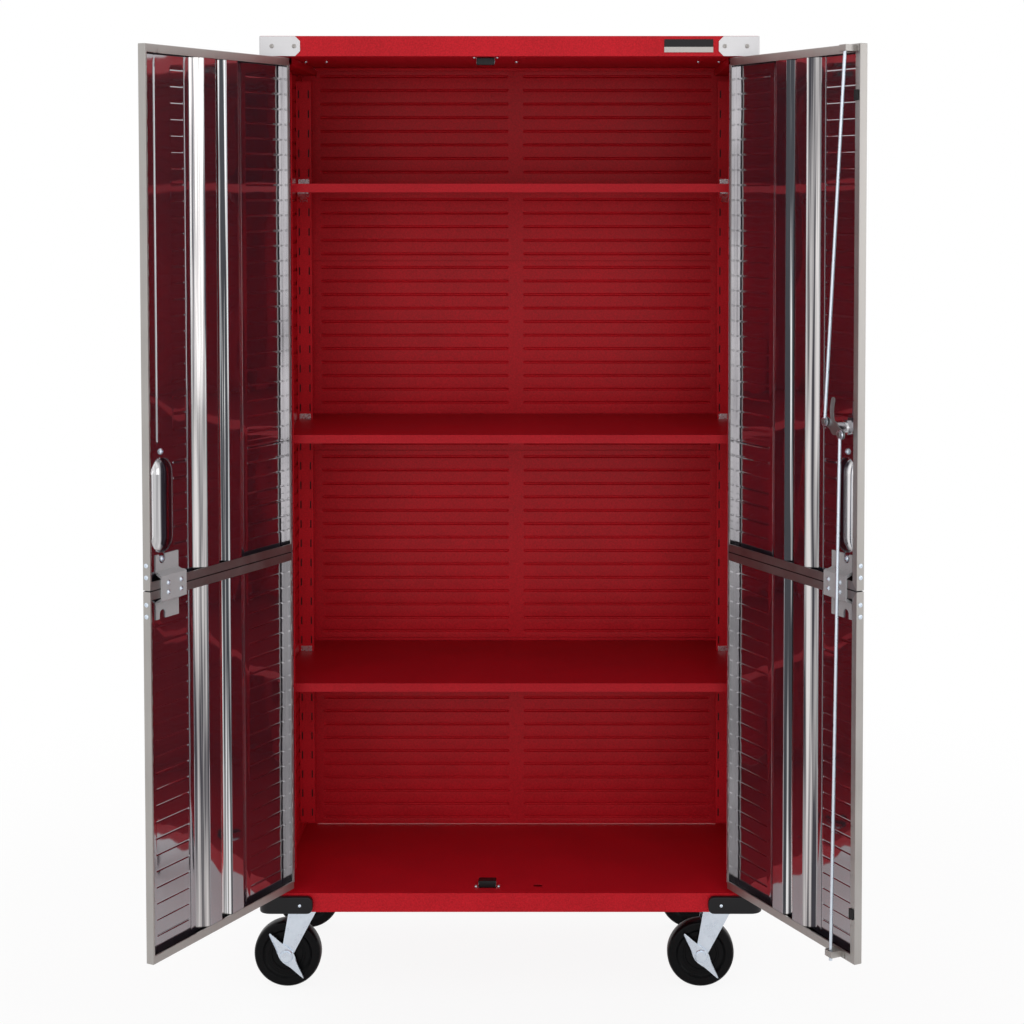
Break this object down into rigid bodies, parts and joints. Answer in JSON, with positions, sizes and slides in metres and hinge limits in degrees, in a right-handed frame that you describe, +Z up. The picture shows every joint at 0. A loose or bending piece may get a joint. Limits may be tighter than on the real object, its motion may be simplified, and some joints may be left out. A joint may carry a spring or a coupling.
{
  "type": "rolling storage cabinet",
  "caption": "Tall two-door steel storage cabinet on swivel casters, with ribbed walls, adjustable shelves on slotted posts, stainless pan doors and a rod lock.",
  "frame": {"origin": "centre of the bounding box with both doors open at rest, on the floor under the wheels", "axes": "+X to the right seen from the front, +Y to the back, +Z up"},
  "size_m": [1.2074, 0.7949, 1.793],
  "materials": {
    "red_powder_coat": "fine-textured red powder coat",
    "stainless_door": "bright stainless sheet",
    "zinc_plate": "zinc plated steel",
    "chrome_steel": "polished steel",
    "black_plastic": "moulded black plastic",
    "black_tyre": "moulded black wheel",
    "black_rubber": "black rubber pad"
  },
  "bodies": {
    "cabinet": {"top_cap": "red_powder_coat", "ceiling_panel": "red_powder_coat", "base_tray": "red_powder_coat", "left_side_panel": "red_powder_coat", "right_side_panel": "red_powder_coat", "back_panel_1": "red_powder_coat", "back_panel_2": "red_powder_coat", "back_panel_3": "red_powder_coat", "back_panel_4": "red_powder_coat", "front_left_post": "red_powder_coat", "front_right_post": "red_powder_coat", "rear_left_post": "red_powder_coat", "rear_right_post": "red_powder_coat", "lower_shelf": "red_powder_coat", "middle_shelf": "red_powder_coat", "upper_shelf": "red_powder_coat", "shelf_clips": "zinc_plate", "corner_brackets": "chrome_steel", "corner_bracket_screws": "zinc_plate", "corner_bumpers": "black_plastic", "catch_brackets": "chrome_steel", "catch_magnets": "black_plastic", "caster_plates": "zinc_plate", "hinge_pins": "zinc_plate", "left_hinge_frame_leaf": "zinc_plate", "right_hinge_frame_leaf": "zinc_plate"},
    "left_door": {"left_upper_door": "stainless_door", "left_lower_door": "stainless_door", "left_stiffeners": "stainless_door", "left_seam_bracket": "zinc_plate", "left_door_screws": "zinc_plate", "left_handle": "chrome_steel", "left_hinge_door_leaf": "zinc_plate"},
    "right_door": {"right_upper_door": "stainless_door", "right_lower_door": "stainless_door", "right_stiffeners": "stainless_door", "right_seam_bracket": "zinc_plate", "right_door_screws": "zinc_plate", "right_handle": "chrome_steel", "right_hinge_door_leaf": "zinc_plate", "rod_guides": "zinc_plate", "door_bumpers": "black_rubber", "lock_cylinder": "chrome_steel"},
    "lock": {"lock_cam": "zinc_plate"},
    "upper_lock_rod": {"upper_rod": "zinc_plate"},
    "lower_lock_rod": {"lower_rod": "zinc_plate"},
    "front_left_caster": {"front_left_fork": "zinc_plate", "front_left_axle": "zinc_plate"},
    "front_left_wheel": {"front_left_wheel": "black_tyre"},
    "front_left_brake": {"front_left_brake_lever": "zinc_plate"},
    "front_right_caster": {"front_right_fork": "zinc_plate", "front_right_axle": "zinc_plate"},
    "front_right_wheel": {"front_right_wheel": "black_tyre"},
    "front_right_brake": {"front_right_brake_lever": "zinc_plate"},
    "rear_left_caster": {"rear_left_fork": "zinc_plate", "rear_left_axle": "zinc_plate"},
    "rear_left_wheel": {"rear_left_wheel": "black_tyre"},
    "rear_right_caster": {"rear_right_fork": "zinc_plate", "rear_right_axle": "zinc_plate"},
    "rear_right_wheel": {"rear_right_wheel": "black_tyre"}
  },
  "joints": [
    {"name": "left_door_hinge", "type": "hinge", "parent": "cabinet", "child": "left_door", "pos_m": [-0.416, -0.0226, 0.9], "axis": [0, 0, -1], "range_deg": [-117, 50]},
    {"name": "right_door_hinge", "type": "hinge", "parent": "cabinet", "child": "right_door", "pos_m": [0.416, -0.0226, 0.9], "axis": [0, 0, 1], "range_deg": [-117, 50]},
    {"name": "lock_turn", "type": "hinge", "parent": "right_door", "child": "lock", "pos_m": [0.56563, -0.35152, 1.11], "axis": [0.891, 0.454, 0], "range_deg": [0, 80]},
    {"name": "upper_rod_pivot", "type": "hinge", "parent": "lock", "child": "upper_lock_rod", "pos_m": [0.54252, -0.33832, 1.11899], "axis": [0.891, 0.454, 0], "range_deg": [-84, 0]},
    {"name": "lower_rod_pivot", "type": "hinge", "parent": "lock", "child": "lower_lock_rod", "pos_m": [0.56273, -0.37798, 1.10101], "axis": [0.891, 0.454, 0], "range_deg": [-84, 0]},
    {"name": "front_left_swivel", "type": "hinge", "parent": "cabinet", "child": "front_left_caster", "pos_m": [-0.392, 0.0274, 0.1545], "axis": [0, 0, 1], "continuous": true},
    {"name": "front_left_roll", "type": "hinge", "parent": "front_left_caster", "child": "front_left_wheel", "pos_m": [-0.425, 0.0274, 0.0635], "axis": [0, 1, 0], "continuous": true},
    {"name": "front_left_brake_press", "type": "hinge", "parent": "front_left_caster", "child": "front_left_brake", "pos_m": [-0.425, 0.0274, 0.0635], "axis": [0, -1, 0], "range_deg": [0, 30]},
    {"name": "front_right_swivel", "type": "hinge", "parent": "cabinet", "child": "front_right_caster", "pos_m": [0.392, 0.0274, 0.1545], "axis": [0, 0, 1], "continuous": true},
    {"name": "front_right_roll", "type": "hinge", "parent": "front_right_caster", "child": "front_right_wheel", "pos_m": [0.359, 0.0274, 0.0635], "axis": [0, 1, 0], "continuous": true},
    {"name": "front_right_brake_press", "type": "hinge", "parent": "front_right_caster", "child": "front_right_brake", "pos_m": [0.359, 0.0274, 0.0635], "axis": [0, -1, 0], "range_deg": [0, 30]},
    {"name": "rear_left_swivel", "type": "hinge", "parent": "cabinet", "child": "rear_left_caster", "pos_m": [-0.392, 0.3234, 0.1545], "axis": [0, 0, 1], "continuous": true},
    {"name": "rear_left_roll", "type": "hinge", "parent": "rear_left_caster", "child": "rear_left_wheel", "pos_m": [-0.425, 0.3234, 0.0635], "axis": [0, 1, 0], "continuous": true},
    {"name": "rear_right_swivel", "type": "hinge", "parent": "cabinet", "child": "rear_right_caster", "pos_m": [0.392, 0.3234, 0.1545], "axis": [0, 0, 1], "continuous": true},
    {"name": "rear_right_roll", "type": "hinge", "parent": "rear_right_caster", "child": "rear_right_wheel", "pos_m": [0.359, 0.3234, 0.0635], "axis": [0, 1, 0], "continuous": true}
  ],
  "couplings": [
    {"joint": "upper_rod_pivot", "follows": "lock_turn", "ratio": -1.0303},
    {"joint": "lower_rod_pivot", "follows": "lock_turn", "ratio": -1.0221}
  ]
}
